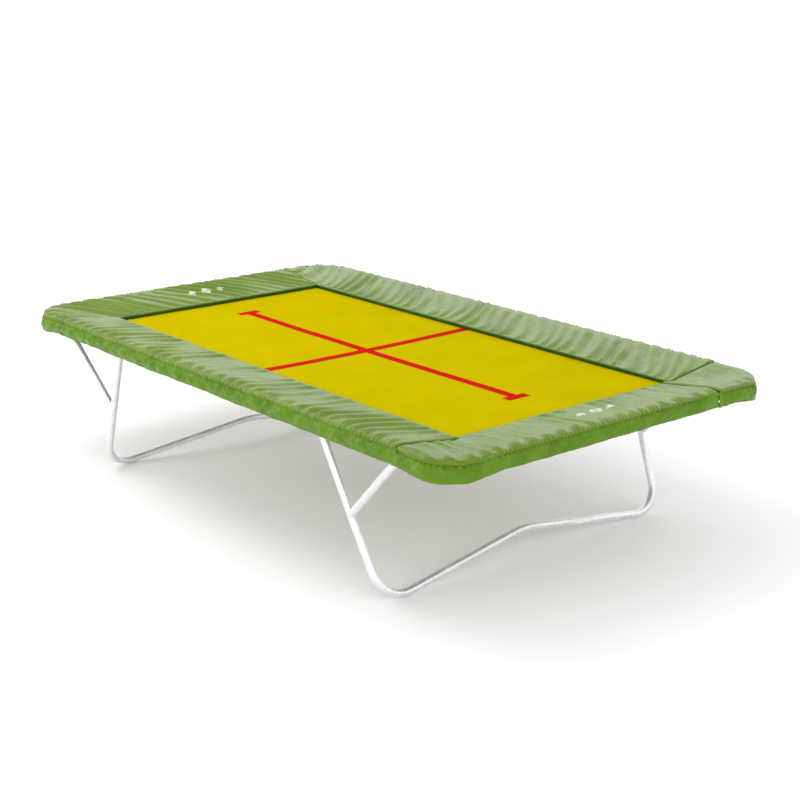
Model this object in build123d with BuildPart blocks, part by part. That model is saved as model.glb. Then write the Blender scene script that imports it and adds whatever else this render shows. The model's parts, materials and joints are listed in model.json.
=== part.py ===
"""Rectangular trampoline: bolted tube frame on splayed Y legs, with a sprung woven bed and padded covers.

Millimetres, Z up. The origin is on the floor under the middle of the bed, X runs along the long sides
and Y along the short ones. "front" is -Y, "back" is +Y, "left" is -X and "right" is +X.
"""

import os
from math import atan, cos, radians, sqrt, tan

from build123d import *

# --- Top frame -------------------------------------------------------------------------------------
frame_length = 4570
frame_width = 2740
tube_diameter = 50
tube_wall = 2.5
corner_bend = 300  # centreline radius of the frame's corners
corner_tail = 150  # straight length at each end of a corner tube
rail_z = 1040  # height of the rail's centreline
swage_length = 80
swage_clearance = 0.15
joint_gap = 1.0

tube_radius = tube_diameter / 2
screw_offset = 40  # from a joint to its screw
screw_radius = 3
screw_hole_radius = 3.3

bore_radius = tube_radius - tube_wall
spigot_radius = bore_radius - swage_clearance
rail_x = frame_length / 2 - tube_radius
rail_y = frame_width / 2 - tube_radius
side_joint_x = rail_x - corner_bend - corner_tail
end_joint_y = rail_y - corner_bend - corner_tail

# --- Legs ------------------------------------------------------------------------------------------
leg_top_x = 1111  # where the upright's axis passes the rail's height
leg_top_y = 1335
brace_top_x = 1885
splay = 0.454  # outward run along X for each unit down
lean = 0.105  # inward run along Y for each unit down
leg_end_z = 987  # the upright and brace stop here, just under the rail
branch_z = 508
seam_z = 350  # the base tube plugs into the uprights here
foot_bend = 210
middle_bend = 600
base_rise = radians(8.36)  # slope of the base tube from foot to middle, in its own plane
socket_depth = 60
bolt_drop = 24  # from a leg tube's end to its bolt
bolt_radius = 4
bolt_hole_radius = 4.4
bolt_reach = 34  # from the tube's axis to the bolt's tip
hex_radius = 7.5
head_height = 5.3
nut_height = 6.5
washer_radius = 8.5
washer_thickness = 1.6
washer_gap = 0.2
weld_gap = 0.1  # between welded tubes

# --- Springs ---------------------------------------------------------------------------------------
bed_z = 1010
spring_pitch = 96
side_springs = 38
end_springs = 19
rod_diameter = 8
rod_offset = 24  # from the rail's inner face to the anchor rod's axis
coil_radius = 11
wire_radius = 1.6
eye_radius = 7.1
cone_length = 14
shank_length = 16
rod_y = rail_y - tube_radius - rod_offset
rod_x = rail_x - tube_radius - rod_offset

# --- Bed -------------------------------------------------------------------------------------------
bed_x = 1925  # half size over the hem
bed_y = 1010
hem_width = 50
hem_thickness = 4
sheet_thickness = 1.2
ring_wire = 2  # half the thickness of a bed ring
ring_reach = 28  # from the ring's hem bar to its outer bar
ring_offset = 5  # from the hem's edge to the ring's hem bar
contact_gap = 0.3  # between a spring's eye and what it bears on
tape_width = 70
tape_thickness = 1.2
cross_x = -60  # the markings are sewn on a little off the bed's middle
long_tape_x = -30
long_tape_y = -8
bar_reach = 1445  # from the long tape's middle to each bar
bar_length = 180

eye_bore = eye_radius - wire_radius
eye_at_rod = eye_bore - rod_diameter / 2 - contact_gap  # from the rod's axis to the eye's centre
eye_at_ring = sqrt((eye_bore - contact_gap) ** 2 - ring_wire**2) - ring_wire
spring_length = rod_y - eye_at_rod - (bed_y + ring_offset + ring_reach + eye_at_ring)

# --- Padded covers ---------------------------------------------------------------------------------
pad_x = 2308  # half size over the padding
pad_y = 1398
pad_corner = 270
opening_x = 1835
opening_y = 920
pad_flat = 78  # width of the level strip over the rail
pad_thickness = 30
pad_lift = 3  # between the rail and the padding
pad_low_z = bed_z + 3.5  # underside at the opening's edge
cover_skin = 1.0
foam_clearance = 0.3
seam_gap = 2.0  # between neighbouring covers
skirt_drop = 116
skirt_thickness = 2.0
pad_bottom_z = rail_z + tube_radius + pad_lift
pad_top_z = pad_bottom_z + pad_thickness
front_seam_x = 1880
back_seam_x = 1862
right_seam_y = 880

SIDES = {"left": -1, "right": 1}
ENDS = {"front": -1, "back": 1}
CORNERS = [(end, side) for end in ENDS for side in SIDES]


# --- Geometry of the legs --------------------------------------------------------------------------
def upright_point(side, end, z):
    """A point on an upright's axis at height z."""
    down = rail_z - z
    return Vector(SIDES[side] * (leg_top_x + splay * down), ENDS[end] * (leg_top_y - lean * down), z)


def brace_point(side, end, z):
    """A point on a brace's axis at height z. The axis meets the upright's at branch_z."""
    top = Vector(SIDES[side] * brace_top_x, ENDS[end] * leg_top_y, rail_z)
    foot = upright_point(side, end, branch_z)
    return top + (foot - top) * ((rail_z - z) / (rail_z - branch_z))


def leg_plane(side):
    """The sloping plane of both uprights and the base tube: local X is along Y, local Y is up the slope."""
    foot_x = SIDES[side] * (leg_top_x + splay * rail_z)
    slope_up = Vector(-SIDES[side] * splay, 0, 1)
    return Plane(origin=(foot_x, 0, 0), x_dir=(0, 1, 0), z_dir=Vector(0, 1, 0).cross(slope_up))


slope_scale = sqrt(1 + splay**2)  # length in the leg plane for each unit of height
upright_lean = lean / slope_scale
upright_foot_y = leg_top_y - lean * rail_z


def base_outline():
    """Half of the base tube's axis in the leg plane, before its bends: joint, foot corner and middle."""
    bend_height = tube_radius * slope_scale + foot_bend
    bend_y = upright_foot_y + upright_lean * bend_height - foot_bend / cos(atan(upright_lean))
    middle = bend_height - foot_bend / cos(base_rise) + bend_y * tan(base_rise)
    corner_y = (upright_foot_y + upright_lean * middle) / (1 + upright_lean * tan(base_rise))
    joint_height = seam_z * slope_scale
    joint = (upright_foot_y + upright_lean * joint_height, joint_height)
    return joint, (corner_y, middle - corner_y * tan(base_rise)), (0, middle)


# --- Tubes -----------------------------------------------------------------------------------------
def save(piece, name):
    """Labels a finished piece and writes it as parts/NAME.step."""
    piece.label = name
    export_step(piece, f"parts/{name}.step")


def axis_plane(start, toward):
    """A plane at start whose normal points at toward."""
    return Plane(origin=start, z_dir=Vector(*toward) - Vector(*start))


def add_tube(plane, length, radius=tube_radius):
    """Adds a straight tube to the part being built."""
    with BuildSketch(plane) as section:
        Circle(radius)
        Circle(radius - tube_wall, mode=Mode.SUBTRACT)
    extrude(section.sketch, amount=length)


def add_spigot(face):
    """Adds a reduced end past a tube's end face, which plugs into the next tube."""
    shoulder = 6
    add_tube(face.offset(-shoulder), shoulder, bore_radius)
    add_tube(face.offset(-shoulder), shoulder + swage_length, spigot_radius)


def cut_across(plane, radius):
    """Drills a tube right through, square to its axis."""
    with BuildSketch(plane) as hole:
        Circle(radius)
    extrude(hole.sketch, amount=tube_radius + 1, both=True, mode=Mode.SUBTRACT)


def cut_screw_hole(point):
    """Drills up into the underside of a joint, through both of its walls."""
    x, y, z = point
    with BuildSketch(Plane.XY.offset(z - tube_radius - 1)) as hole:
        with Locations((x, y)):
            Circle(screw_hole_radius)
    extrude(hole.sketch, amount=2 * tube_wall + 3, mode=Mode.SUBTRACT)


# --- Top frame -------------------------------------------------------------------------------------
def side_screw(side, end):
    """Where a screw holds a side rail to a corner."""
    return (SIDES[side] * (side_joint_x - screw_offset), ENDS[end] * rail_y, rail_z)


def end_screw(side, end):
    """Where a screw holds an end rail to a corner."""
    return (SIDES[side] * rail_x, ENDS[end] * (end_joint_y - screw_offset), rail_z)


def middle_screw(end):
    """Where a screw holds the two halves of a side rail."""
    return (screw_offset, ENDS[end] * rail_y, rail_z)


def rail(start, end, holes, spigot=False):
    """A straight rail. With a spigot, its far end plugs into the next one."""
    length = (Vector(*end) - Vector(*start)).length
    with BuildPart() as tube:
        add_tube(axis_plane(start, end), length)
        if spigot:
            add_spigot(axis_plane(start, end).offset(length))
        for hole in holes:
            cut_screw_hole(hole)
    return tube.part


def frame_corner(side, end):
    """A bent corner tube with a spigot at both ends."""
    sx, sy = SIDES[side], ENDS[end]
    side_end = (sx * side_joint_x, sy * rail_y, rail_z)
    end_end = (sx * rail_x, sy * end_joint_y, rail_z)
    bend = (sx * rail_x, sy * rail_y, rail_z)
    with BuildPart() as corner:
        with BuildLine() as path:
            FilletPolyline(side_end, bend, end_end, radius=corner_bend)
        with BuildSketch(axis_plane(side_end, bend)):
            Circle(tube_radius)
            Circle(bore_radius, mode=Mode.SUBTRACT)
        sweep(path=path.line)
        add_spigot(Plane(origin=side_end, z_dir=(-sx, 0, 0)))
        add_spigot(Plane(origin=end_end, z_dir=(0, -sy, 0)))
        cut_screw_hole(side_screw(side, end))
        cut_screw_hole(end_screw(side, end))
    return corner.part


def build_frame():
    """Four corners, two end rails, four half side rails and the screws of their joints."""
    for end, side in CORNERS:
        save(frame_corner(side, end), f"frame_corner_{end}_{side}")
    end_reach = end_joint_y - joint_gap
    for side, sx in SIDES.items():
        x = sx * rail_x
        holes = [end_screw(side, end) for end in ENDS]
        end_rail = rail((x, -end_reach, rail_z), (x, end_reach, rail_z), holes)
        save(end_rail, f"frame_end_{side}")
    side_reach = side_joint_x - joint_gap
    for end, sy in ENDS.items():
        y = sy * rail_y
        left_holes = [side_screw("left", end), middle_screw(end)]
        right_holes = [side_screw("right", end), middle_screw(end)]
        left = rail((-side_reach, y, rail_z), (0, y, rail_z), left_holes, spigot=True)
        right = rail((joint_gap, y, rail_z), (side_reach, y, rail_z), right_holes)
        save(left, f"frame_side_{end}_left")
        save(right, f"frame_side_{end}_right")
    joints = [joint(side, end) for end, side in CORNERS for joint in (side_screw, end_screw)]
    joints += [middle_screw(end) for end in ENDS]
    head_radius, head_depth, head_gap = 6, 2.8, 0.4
    with BuildPart() as screws:
        for x, y, z in joints:
            under = Plane.XY.offset(z - tube_radius - head_gap)
            with BuildSketch(under):
                with Locations((x, y)):
                    Circle(head_radius)
            extrude(amount=-head_depth)
            with BuildSketch(under):
                with Locations((x, y)):
                    Circle(screw_radius)
            extrude(amount=2 * tube_wall + 4)
    save(screws.part, "joint_screws")


# --- Legs ------------------------------------------------------------------------------------------
def bolt_plane(point_at, side, end):
    """A plane on a leg tube's axis at its bolt, with its normal along the bolt and facing outward."""
    along = (point_at(side, end, 0) - point_at(side, end, rail_z)).normalized()
    out = along.cross(Vector(1, 0, 0))
    facing = out if out.Y * ENDS[end] > 0 else -out
    return Plane(origin=point_at(side, end, leg_end_z) + along * bolt_drop, x_dir=along, z_dir=facing)


def leg_sockets(side, end):
    """Two stubs welded under the rail, which the upright and the brace slide over."""
    with BuildPart() as stubs:
        for point_at in (upright_point, brace_point):
            top = point_at(side, end, rail_z)
            below = point_at(side, end, leg_end_z)
            add_tube(axis_plane(top, below), (below - top).length + socket_depth, spigot_radius)
            cut_across(bolt_plane(point_at, side, end), bolt_hole_radius)
        with BuildSketch(Plane.YZ.offset(SIDES[side] * leg_top_x)):
            with Locations((ENDS[end] * rail_y, rail_z)):
                Circle(tube_radius + weld_gap)
            with Locations((ENDS[end] * rail_y, rail_z + tube_diameter)):
                Rectangle(4 * tube_diameter, 2 * tube_diameter)
        extrude(amount=frame_length, both=True, mode=Mode.SUBTRACT)
    return stubs.part


def leg_upright(side, end):
    """The main leg tube, from under the rail down to the seam with the base tube."""
    top = upright_point(side, end, leg_end_z)
    foot = upright_point(side, end, seam_z + joint_gap)
    with BuildPart() as upright:
        add_tube(axis_plane(top, foot), (foot - top).length)
        cut_across(bolt_plane(upright_point, side, end), bolt_hole_radius)
    return upright.part


def leg_brace(side, end):
    """The branch tube, coped where it is welded onto the upright."""
    top = brace_point(side, end, leg_end_z)
    foot = brace_point(side, end, branch_z)
    with BuildPart() as brace:
        add_tube(axis_plane(top, foot), (foot - top).length - tube_radius / 2)
        cut_across(bolt_plane(brace_point, side, end), bolt_hole_radius)
        with BuildSketch(axis_plane(upright_point(side, end, leg_end_z), upright_point(side, end, seam_z))):
            Circle(tube_radius + weld_gap)
        extrude(amount=rail_z, mode=Mode.SUBTRACT)
    return brace.part


def base_tube(side):
    """The bent tube that joins two uprights: a foot at each side and a raised middle."""
    joint, corner, middle = base_outline()
    plane = leg_plane(side)
    mouths = [plane.from_local_coords((sign * joint[0], joint[1], 0)) for sign in (-1, 1)]
    feet = [plane.from_local_coords((sign * corner[0], corner[1], 0)) for sign in (-1, 1)]
    with BuildPart() as base:
        with BuildLine(plane) as path:
            outline = [(-joint[0], joint[1]), (-corner[0], corner[1]), middle, corner, joint]
            FilletPolyline(*outline, radius=[foot_bend, middle_bend, foot_bend])
        with BuildSketch(axis_plane(mouths[0], feet[0])):
            Circle(tube_radius)
            Circle(bore_radius, mode=Mode.SUBTRACT)
        sweep(path=path.line)
        for mouth, foot in zip(mouths, feet):
            add_spigot(Plane(origin=mouth, z_dir=mouth - foot))
    return base.part


def base_point(side, along):
    """A point on the base tube's axis, on the straight run at a distance along Y from its middle."""
    middle = base_outline()[2][1]
    return leg_plane(side).from_local_coords((along, middle - along * tan(base_rise), 0))


def base_label():
    """A blank label wrapped round the upper face of the right base tube."""
    label_y, label_length, label_skin, label_gap = 500, 150, 0.3, 0.05
    start = base_point("right", label_y - label_length / 2)
    stop = base_point("right", label_y + label_length / 2)
    cut_top = start.Z / 2 + stop.Z / 2 - tube_radius / 2  # the label ends part way down the tube's sides
    with BuildPart() as label:
        with BuildSketch(axis_plane(start, stop)):
            Circle(tube_radius + label_gap + label_skin)
            Circle(tube_radius + label_gap, mode=Mode.SUBTRACT)
        extrude(amount=label_length)
        with BuildSketch(Plane.XY.offset(cut_top)):
            with Locations((start.X, label_y)):
                Rectangle(4 * tube_diameter, 2 * label_length)
        extrude(amount=-2 * tube_diameter, mode=Mode.SUBTRACT)
    return label.part


def build_legs():
    """Four Y legs with their sockets, the two base tubes, and the bolts that hold the legs."""
    for end, side in CORNERS:
        save(leg_sockets(side, end), f"leg_sockets_{end}_{side}")
        save(leg_upright(side, end), f"leg_upright_{end}_{side}")
        save(leg_brace(side, end), f"leg_brace_{end}_{side}")
    for side in SIDES:
        save(base_tube(side), f"base_tube_{side}")
    save(base_label(), "base_label")
    tubes = (upright_point, brace_point)
    planes = [bolt_plane(point_at, side, end) for end, side in CORNERS for point_at in tubes]
    washer_start = tube_radius + washer_gap
    seat = washer_start + washer_thickness + washer_gap
    with BuildPart() as bolts:
        for plane in planes:
            with BuildSketch(plane.offset(seat)):
                RegularPolygon(hex_radius, 6)
            extrude(amount=head_height)
            with BuildSketch(plane.offset(-bolt_reach)):
                Circle(bolt_radius)
            extrude(amount=bolt_reach + seat)
    save(bolts.part, "socket_bolts")
    with BuildPart() as washers:
        for plane in planes:
            for start in (washer_start, -washer_start - washer_thickness):
                with BuildSketch(plane.offset(start)):
                    Circle(washer_radius)
                    Circle(bolt_hole_radius, mode=Mode.SUBTRACT)
                extrude(amount=washer_thickness)
    save(washers.part, "socket_washers")
    with BuildPart() as nuts:
        for plane in planes:
            with BuildSketch(plane.offset(-seat - nut_height)):
                RegularPolygon(hex_radius, 6)
                Circle(bolt_radius + weld_gap, mode=Mode.SUBTRACT)
            extrude(amount=nut_height)
    save(nuts.part, "socket_nuts")


# --- Springs ---------------------------------------------------------------------------------------
def places(count):
    """Evenly pitched positions centred on zero."""
    return [(i - (count - 1) / 2) * spring_pitch for i in range(count)]


def rod_side(plane, across, length, tabs):
    """One anchor rod along plane's normal, with tabs welded up to its rail."""
    tab_height, tab_thickness, tab_rise = 16, 4, 7
    rail_across = across + rod_offset + tube_radius
    with BuildPart() as rod:
        with BuildSketch(plane.offset(-length / 2)):
            with Locations((across, bed_z)):
                Circle(rod_diameter / 2)
        extrude(amount=length)
        for at in tabs:
            with BuildSketch(plane.offset(at - tab_thickness / 2)):
                with Locations(((across + rail_across - tube_radius / 2) / 2, bed_z + tab_rise)):
                    Rectangle(rail_across - tube_radius / 2 - across, tab_height)
            extrude(amount=tab_thickness)
        with BuildSketch(plane.offset(-length / 2)):
            with Locations((rail_across, rail_z)):
                Circle(tube_radius + weld_gap)
        extrude(amount=length, mode=Mode.SUBTRACT)
    return rod.part


def build_rods():
    """The rods that the springs hook onto, one along each side."""
    side_tabs = [n * spring_pitch for n in (-18, -15, -10, -5, 0, 5, 10, 15, 18)]
    end_tabs = [n * spring_pitch for n in (-8.5, -4.5, -0.5, 4.5, 8.5)]
    rod_margin = 12
    side_length = 2 * (side_joint_x - rod_margin)
    end_length = 2 * (end_joint_y - rod_margin)
    along_x = Plane(origin=(0, 0, 0), x_dir=(0, 1, 0), z_dir=(1, 0, 0))
    along_y = Plane(origin=(0, 0, 0), x_dir=(-1, 0, 0), z_dir=(0, 1, 0))
    back = rod_side(along_x, rod_y, side_length, side_tabs)
    left = rod_side(along_y, rod_x, end_length, end_tabs)
    save(back, "spring_rods_back")
    save(left, "spring_rods_left")
    save(mirror(back, about=Plane.XZ), "spring_rods_front")
    save(mirror(left, about=Plane.YZ), "spring_rods_right")


def spring_shape():
    """One spring along +X: an eye at the origin, a close coil, and an eye at spring_length."""
    coil_start = eye_radius + shank_length + cone_length
    middle = spring_length / 2
    coil_bore = coil_radius - 2 * wire_radius
    with BuildPart() as spring:
        with BuildSketch(Plane.XZ):
            with BuildLine():
                Polyline(
                    (eye_radius, 0), (eye_radius, wire_radius), (eye_radius + shank_length, wire_radius),
                    (coil_start, coil_radius), (middle, coil_radius), (middle, coil_bore),
                    (coil_start + coil_bore, coil_bore), (coil_start, 0), close=True,
                )
            make_face()
        revolve(axis=Axis.X)
        with BuildSketch(Plane.XZ):
            Circle(eye_radius + wire_radius)
            Circle(eye_bore, mode=Mode.SUBTRACT)
        extrude(amount=wire_radius, both=True)
        mirror(about=Plane.YZ.offset(middle))
    return spring.part


def ring_shape():
    """One bed ring in the XY plane: the hem bar along Y at the origin, the spring's bar at ring_reach."""
    half_width, half_nose = 17, 8
    corners = [(0, half_width), (ring_reach, half_nose), (ring_reach, -half_nose), (0, -half_width)]
    with BuildSketch() as middle:
        Polygon(*corners, align=None)
    with BuildPart() as ring:
        with BuildSketch():
            offset(middle.sketch, amount=ring_wire, kind=Kind.INTERSECTION)
            offset(middle.sketch, amount=-ring_wire, kind=Kind.INTERSECTION, mode=Mode.SUBTRACT)
        extrude(amount=ring_wire, both=True)
    return ring.part


def loop_shape():
    """The webbing loop that holds one ring to the hem."""
    width, wall, gap = 24, 1.6, 0.2
    bore = ring_wire * sqrt(2) + gap
    with BuildPart() as loop:
        with BuildSketch(Plane.XZ):
            Circle(bore + wall)
            with Locations(((gap - ring_offset) / 2, 0)):
                Rectangle(ring_offset - gap, 2 * wall)
            Circle(bore, mode=Mode.SUBTRACT)
        extrude(amount=width / 2, both=True)
    return loop.part


def around_bed(shape, along_side, along_end, turn=0):
    """Copies of shape at every spring's place, by side. Turned copies face away from the bed's middle."""
    front = [((place, -along_side, bed_z), 90) for place in places(side_springs)]
    back = [((place, along_side, bed_z), -90) for place in places(side_springs)]
    left = [((-along_end, place, bed_z), 0) for place in places(end_springs)]
    right = [((along_end, place, bed_z), 180) for place in places(end_springs)]
    groups = {"front": front, "back": back, "left": left, "right": right}
    return {
        side: [shape.moved(Location(spot, (0, 0, facing + turn))) for spot, facing in group]
        for side, group in groups.items()
    }


def build_springs():
    """The springs of each side, and the bed's rings in their webbing loops."""
    springs = around_bed(spring_shape(), rod_y - eye_at_rod, rod_x - eye_at_rod)
    for side, group in springs.items():
        save(Compound(children=group), f"springs_{side}")
    for name, shape in (("bed_rings", ring_shape()), ("ring_loops", loop_shape())):
        groups = around_bed(shape, bed_y + ring_offset, bed_x + ring_offset, turn=180)
        save(Compound(children=[piece for group in groups.values() for piece in group]), name)


# --- Bed -------------------------------------------------------------------------------------------
def layer(height, thickness, length_x, length_y, centre=(0, 0), mode=Mode.ADD):
    """Adds a flat rectangle of cloth whose underside is at height."""
    with BuildSketch(Plane.XY.offset(height)) as outline:
        with Locations(centre):
            Rectangle(length_x, length_y)
    extrude(outline.sketch, amount=thickness, mode=mode)


def build_bed():
    """The woven sheet, the webbing hem folded over its edge and the marking tapes sewn on top."""
    sheet_x, sheet_y = 2 * (bed_x - 3), 2 * (bed_y - 3)
    slot_gap = 0.1
    top = bed_z + sheet_thickness / 2
    with BuildPart() as sheet:
        layer(bed_z - sheet_thickness / 2, sheet_thickness, sheet_x, sheet_y)
    save(sheet.part, "bed_sheet")
    with BuildPart() as hem:
        low = bed_z - hem_thickness / 2
        layer(low, hem_thickness, 2 * bed_x, 2 * bed_y)
        layer(low, hem_thickness, 2 * (bed_x - hem_width), 2 * (bed_y - hem_width), mode=Mode.SUBTRACT)
        slot = sheet_thickness + 2 * slot_gap
        layer(bed_z - slot / 2, slot, sheet_x + 2 * slot_gap, sheet_y + 2 * slot_gap, mode=Mode.SUBTRACT)
    save(hem.part, "bed_hem")
    middle = (long_tape_x, long_tape_y)
    with BuildPart() as long_tape:
        layer(top, tape_thickness, 2 * bar_reach - tape_width, tape_width, middle)
    save(long_tape.part, "marking_tape_long")
    for side, sx in SIDES.items():
        with BuildPart() as bar:
            layer(top, tape_thickness, tape_width, bar_length, (long_tape_x + sx * bar_reach, long_tape_y))
        save(bar.part, f"marking_bar_{side}")
    overlap = 30
    crossing = (cross_x, long_tape_y)
    with BuildPart() as cross:
        layer(top, tape_thickness, tape_width, 2 * (bed_y - hem_width - 1), (cross_x, 0))
        layer(top, tape_thickness, tape_width, tape_width + 1, crossing, Mode.SUBTRACT)
        layer(top + tape_thickness, tape_thickness, tape_width, tape_width + 2 * overlap, crossing)
    save(cross.part, "marking_tape_cross")


# --- Padded covers ---------------------------------------------------------------------------------
def hopper(top):
    """A hopper that narrows downward: the slope that the padding follows from the rail to the bed."""
    hip_x, hip_y = pad_x - pad_flat, pad_y - pad_flat
    drop = pad_bottom_z - pad_low_z
    run = hip_y - opening_y
    low_corner = 4
    with BuildPart() as shape:
        with BuildSketch(Plane.XY.offset(top)):
            RectangleRounded(2 * hip_x, 2 * hip_y, pad_corner - pad_flat)
        with BuildSketch(Plane.XY.offset(top - drop)):
            RectangleRounded(2 * (hip_x - run), 2 * (hip_y - run), low_corner)
        loft()
    return shape.part


def pad_ring(inset):
    """The whole ring of padding, set in by inset all round: level over the rail, then down to the bed."""
    above, below = hopper(pad_top_z - inset), hopper(pad_bottom_z + inset)
    with BuildPart() as ring:
        with BuildSketch(Plane.XY.offset(pad_bottom_z + inset)):
            RectangleRounded(2 * (pad_x - inset), 2 * (pad_y - inset), pad_corner - inset)
        extrude(amount=pad_thickness - 2 * inset)
        add(below)
        add(above, mode=Mode.SUBTRACT)
        layer(0, 2 * pad_top_z, 2 * (opening_x + inset), 2 * (opening_y + inset), mode=Mode.SUBTRACT)
    return ring.part


def skirt_ring():
    """The skirt that hangs from the padding's outer edge, all the way round."""
    skirt_bottom_z = pad_top_z - skirt_drop
    with BuildPart() as ring:
        with BuildSketch(Plane.XY.offset(skirt_bottom_z)):
            RectangleRounded(2 * pad_x, 2 * pad_y, pad_corner)
            inner_x, inner_y = pad_x - skirt_thickness, pad_y - skirt_thickness
            RectangleRounded(2 * inner_x, 2 * inner_y, pad_corner - skirt_thickness, mode=Mode.SUBTRACT)
        extrude(amount=pad_bottom_z + cover_skin - skirt_bottom_z)
    return ring.part


def pad_zones(inset):
    """The plan area of each cover as boxes (x from, x to, y from, y to), set in by inset at its seams."""
    edge = seam_gap / 2 + inset
    far = 3000
    front_top, back_low = -opening_y, opening_y
    return {
        "front": [(-opening_x + edge, front_seam_x - edge, -far, front_top)],
        "right": [
            (front_seam_x + edge, far, -far, right_seam_y - edge),
            (opening_x - 1, far, front_top + edge, right_seam_y - edge),
        ],
        "corner": [
            (back_seam_x + edge, far, right_seam_y + edge, far),
            (opening_x - 1, far, right_seam_y + edge, back_low - edge),
        ],
        "back": [(-far, back_seam_x - edge, back_low + edge, far)],
        "left": [(-far, -opening_x - edge, -far, back_low - edge)],
    }


def cut_to_boxes(whole, boxes):
    """The part of whole that lies inside plan boxes, at any height."""
    with BuildPart() as piece:
        add(whole)
        with BuildSketch(Plane.XY):
            for x0, x1, y0, y1 in boxes:
                with Locations(((x0 + x1) / 2, (y0 + y1) / 2)):
                    Rectangle(x1 - x0, y1 - y0)
        extrude(amount=2 * pad_top_z, mode=Mode.INTERSECT)
    return piece.part


def build_pads():
    """Five covers end to end round the frame, each a closed skin round a foam slab, with its skirt."""
    outer, cavity, foam = pad_ring(0), pad_ring(cover_skin), pad_ring(cover_skin + foam_clearance)
    skirt = skirt_ring()
    cavity_zones, foam_zones = pad_zones(cover_skin), pad_zones(cover_skin + foam_clearance)
    for name, boxes in pad_zones(0).items():
        padding = cut_to_boxes(outer, boxes)
        hollow = cut_to_boxes(cavity, cavity_zones[name])
        hanging = cut_to_boxes(skirt, boxes)
        with BuildPart() as cover:
            add(padding)
            add(hanging)
            add(hollow, mode=Mode.SUBTRACT)
        save(cover.part, f"pad_cover_{name}")
        save(cut_to_boxes(foam, foam_zones[name]), f"pad_foam_{name}")


def build_pad_fixings():
    """The webbing straps that tie the covers to the rails, and the stud in the seam of the skirt."""
    strap_width, strap_thickness, strap_gap = 20, 1.6, 0.4
    strap_radius = tube_radius + strap_gap + strap_thickness
    side_straps = (-1608, -1224, -744, -264, 216, 792, 1272, 1656)
    end_straps = (-744, -264, 216, 744)
    along_x = [(Plane.YZ.offset(x), (sy * rail_y, rail_z)) for x in side_straps for sy in ENDS.values()]
    along_y = [(Plane.XZ.offset(y), (sx * rail_x, rail_z)) for y in end_straps for sx in SIDES.values()]
    with BuildPart() as straps:
        for plane, centre in along_x + along_y:
            with BuildSketch(plane):
                with Locations(centre):
                    Circle(strap_radius)
                    Circle(tube_radius + strap_gap, mode=Mode.SUBTRACT)
            extrude(amount=strap_width / 2, both=True)
    save(straps.part, "pad_straps")
    stud_radius, stud_height, stud_setback, stud_drop, stud_gap = 6, 1.6, 30, 75, 0.1
    with BuildPart() as stud:
        with BuildSketch(Plane.YZ.offset(pad_x + stud_gap)):
            with Locations((right_seam_y - stud_setback, pad_top_z - stud_drop)):
                Circle(stud_radius)
        extrude(amount=stud_height)
        fillet(stud.faces().sort_by(Axis.X)[-1].edges(), radius=stud_height / 2)
    save(stud.part, "skirt_stud")


os.makedirs("parts", exist_ok=True)
build_frame()
build_legs()
build_rods()
build_springs()
build_bed()
build_pads()
build_pad_fixings()
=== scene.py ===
"""The looks of a rectangular trampoline: vinyl pads and skirts, woven bed, springs, and steel finishes.

Metres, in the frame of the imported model. "front" is -Y, "back" is +Y, "left" is -X and "right" is +X.
"""

import json
import math

import bmesh
import bpy
import numpy as np
from mathutils import Matrix, Vector, noise


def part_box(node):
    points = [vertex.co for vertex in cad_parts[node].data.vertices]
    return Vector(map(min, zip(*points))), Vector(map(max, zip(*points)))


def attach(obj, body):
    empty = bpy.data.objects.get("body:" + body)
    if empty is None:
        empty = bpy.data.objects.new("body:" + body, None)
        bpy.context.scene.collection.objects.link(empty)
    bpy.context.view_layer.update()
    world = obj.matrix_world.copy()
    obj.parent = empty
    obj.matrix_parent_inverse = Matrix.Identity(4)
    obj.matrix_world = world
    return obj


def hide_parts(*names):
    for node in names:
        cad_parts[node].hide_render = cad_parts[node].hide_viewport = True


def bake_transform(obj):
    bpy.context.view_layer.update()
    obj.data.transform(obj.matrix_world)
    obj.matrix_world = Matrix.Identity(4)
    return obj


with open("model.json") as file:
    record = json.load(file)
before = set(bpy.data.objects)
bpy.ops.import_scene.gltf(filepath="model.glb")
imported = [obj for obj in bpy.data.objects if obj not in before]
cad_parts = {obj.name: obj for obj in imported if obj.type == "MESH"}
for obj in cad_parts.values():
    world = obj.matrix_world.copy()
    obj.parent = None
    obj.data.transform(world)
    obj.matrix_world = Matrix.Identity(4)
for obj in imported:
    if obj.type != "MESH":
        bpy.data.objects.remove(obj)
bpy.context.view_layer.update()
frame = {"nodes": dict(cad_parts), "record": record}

# --- Sizes, worked out from the frame ---------------------------------------------------------------
PADS = ("front", "right", "corner", "back", "left")
pad_boxes = {name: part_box(f"pad_cover_{name}") for name in PADS}
RIM_Z = pad_boxes["front"][1].z
OUT_X = pad_boxes["right"][1].x
OUT_Y = pad_boxes["back"][1].y
IN_X = pad_boxes["right"][0].x
IN_Y = pad_boxes["back"][0].y
SKIRT_LOW = pad_boxes["front"][0].z
FRONT_SEAM = pad_boxes["front"][1].x
BACK_SEAM = pad_boxes["back"][1].x
RIGHT_SEAM = pad_boxes["right"][1].y
LEFT_SEAM = pad_boxes["left"][1].y
CORNER_R = 0.270
PAD_THICKNESS = 0.030
PAD_FLAT = 0.078
hem_low, hem_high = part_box("bed_hem")
BED_Z = (hem_low.z + hem_high.z) / 2
BED_X, BED_Y = hem_high.x, hem_high.y
HIP_X, HIP_Y = OUT_X - PAD_FLAT, OUT_Y - PAD_FLAT
PAD_RUN = HIP_Y - IN_Y
PAD_DROP = 0.0545
ROD_R = 0.004
ROD_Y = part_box("spring_rods_back")[0].y + ROD_R
ROD_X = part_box("spring_rods_right")[0].x + ROD_R
SPRING_PITCH = 0.096
SIDE_SPRINGS, END_SPRINGS = 38, 19
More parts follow.
